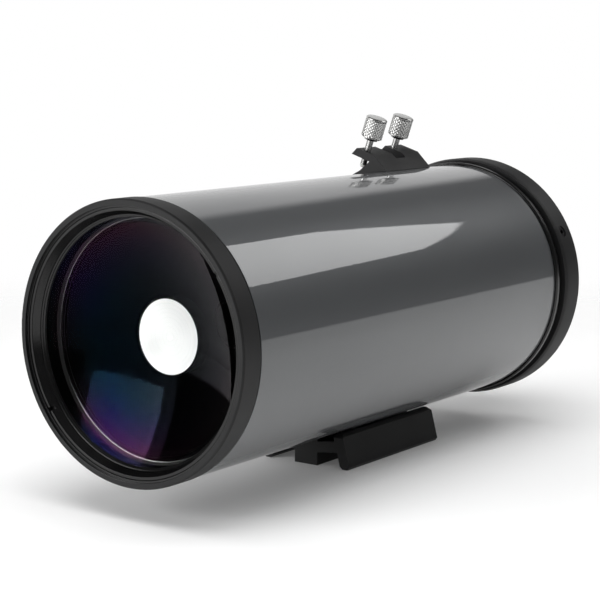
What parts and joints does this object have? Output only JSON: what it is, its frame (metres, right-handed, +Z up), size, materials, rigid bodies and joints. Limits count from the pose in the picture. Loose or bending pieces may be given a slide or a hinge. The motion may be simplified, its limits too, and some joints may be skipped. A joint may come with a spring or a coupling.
{
  "type": "telescope",
  "caption": "Compact Maksutov telescope tube with a steep meniscus front lens, silvered central spot, dovetail foot, finder shoe with clamp screws, focus knob and eyepiece holder.",
  "frame": {"origin": "centre of the foot's underside, at the mouth of its tripod thread", "axes": "+Y along the optical axis from the sky end to the eye end, +Z up, +X to the side away from the focus knob"},
  "size_m": [0.1102, 0.283, 0.1423],
  "materials": {
    "black_anodised": "satin black anodised",
    "tube_paint": "high-gloss gunmetal grey paint on aluminium",
    "coated_glass": "polished, multi-coated",
    "aluminised": "aluminised spot",
    "mirror_glass": "aluminised front surface",
    "flat_black": "matt black",
    "bare_aluminium": "machined",
    "black_steel": "black oxide",
    "screw_steel": "ground",
    "bright_nickel": "bright nickel plate, knurled",
    "brass_parts": "turned",
    "nylon": "natural nylon",
    "grip_rubber": "ribbed",
    "gasket": "soft black"
  },
  "bodies": {
    "telescope": {"front_cell": "black_anodised", "front_retaining_ring": "black_anodised", "meniscus_corrector": "coated_glass", "corrector_front_gasket": "gasket", "corrector_rear_gasket": "gasket", "secondary_spot": "aluminised", "secondary_baffle": "flat_black", "main_tube": "tube_paint", "dovetail_bar": "black_anodised", "dovetail_screws": "black_steel", "dovetail_nut_plate": "bare_aluminium", "finder_shoe": "black_anodised", "finder_shoe_screws": "black_steel", "finder_shoe_nut_plate": "bare_aluminium", "rear_tube_collar": "black_anodised", "rear_cell": "black_anodised", "rear_cover": "black_anodised", "rear_cover_screws": "black_steel", "primary_baffle_tube": "flat_black", "focus_bushing": "black_anodised", "focus_bushing_screws": "black_steel", "focus_washer": "nylon", "rear_port": "black_anodised", "eyepiece_holder": "black_anodised", "compression_ring": "brass_parts"},
    "focus_drive": {"focus_screw": "screw_steel", "focus_knob": "black_anodised", "focus_knob_grip": "grip_rubber"},
    "mirror_cell": {"primary_mirror": "mirror_glass", "mirror_carrier": "bare_aluminium", "mirror_pad": "gasket", "mirror_retaining_ring": "flat_black", "focus_nut": "brass_parts"},
    "finder_clamp_front_tip": {"finder_clamp_tip_front": "nylon"},
    "finder_clamp_front_screw": {"finder_clamp_screw_front": "bright_nickel"},
    "finder_clamp_rear_tip": {"finder_clamp_tip_rear": "nylon"},
    "finder_clamp_rear_screw": {"finder_clamp_screw_rear": "bright_nickel"},
    "eyepiece_clamp_side_tip": {"eyepiece_clamp_tip_side": "nylon"},
    "eyepiece_clamp_side_screw": {"eyepiece_clamp_screw_side": "bright_nickel"},
    "eyepiece_clamp_top_tip": {"eyepiece_clamp_tip_top": "nylon"},
    "eyepiece_clamp_top_screw": {"eyepiece_clamp_screw_top": "bright_nickel"}
  },
  "joints": [
    {"name": "focus_turn", "type": "hinge", "parent": "telescope", "child": "focus_drive", "pos_m": [-0.039, 0.11, 0.0654], "axis": [0, 1, 0], "range_deg": [-2160, 2160]},
    {"name": "mirror_travel", "type": "slide", "parent": "telescope", "child": "mirror_cell", "axis": [0, 1, 0], "range_m": [-0.0046, 0.0046]},
    {"name": "finder_clamp_front_travel", "type": "slide", "parent": "telescope", "child": "finder_clamp_front_tip", "axis": [0.32, 0, 0.9474], "range_m": [0, 0.0049]},
    {"name": "finder_clamp_front_turn", "type": "hinge", "parent": "finder_clamp_front_tip", "child": "finder_clamp_front_screw", "pos_m": [-0.01583, 0.0316, 0.12341], "axis": [0.32, 0, 0.9474], "range_deg": [0, 2528]},
    {"name": "finder_clamp_rear_travel", "type": "slide", "parent": "telescope", "child": "finder_clamp_rear_tip", "axis": [0.32, 0, 0.9474], "range_m": [0, 0.0049]},
    {"name": "finder_clamp_rear_turn", "type": "hinge", "parent": "finder_clamp_rear_tip", "child": "finder_clamp_rear_screw", "pos_m": [-0.01583, 0.0534, 0.12341], "axis": [0.32, 0, 0.9474], "range_deg": [0, 2528]},
    {"name": "eyepiece_clamp_side_travel", "type": "slide", "parent": "telescope", "child": "eyepiece_clamp_side_tip", "axis": [1, 0, 0], "range_m": [0, 0.00105]},
    {"name": "eyepiece_clamp_side_turn", "type": "hinge", "parent": "eyepiece_clamp_side_tip", "child": "eyepiece_clamp_side_screw", "pos_m": [0.025, 0.1295, 0.0654], "axis": [1, 0, 0], "range_deg": [0, 548]},
    {"name": "eyepiece_clamp_top_travel", "type": "slide", "parent": "telescope", "child": "eyepiece_clamp_top_tip", "axis": [0, 0, 1], "range_m": [0, 0.00105]},
    {"name": "eyepiece_clamp_top_turn", "type": "hinge", "parent": "eyepiece_clamp_top_tip", "child": "eyepiece_clamp_top_screw", "pos_m": [0, 0.1295, 0.0904], "axis": [0, 0, 1], "range_deg": [0, 548]}
  ],
  "couplings": [
    {"joint": "mirror_travel", "follows": "focus_turn", "m_per_rad": 0.00011937},
    {"joint": "finder_clamp_front_turn", "follows": "finder_clamp_front_travel", "rad_per_m": 8976},
    {"joint": "finder_clamp_rear_turn", "follows": "finder_clamp_rear_travel", "rad_per_m": 8976},
    {"joint": "eyepiece_clamp_side_turn", "follows": "eyepiece_clamp_side_travel", "rad_per_m": 8976},
    {"joint": "eyepiece_clamp_top_turn", "follows": "eyepiece_clamp_top_travel", "rad_per_m": 8976}
  ]
}
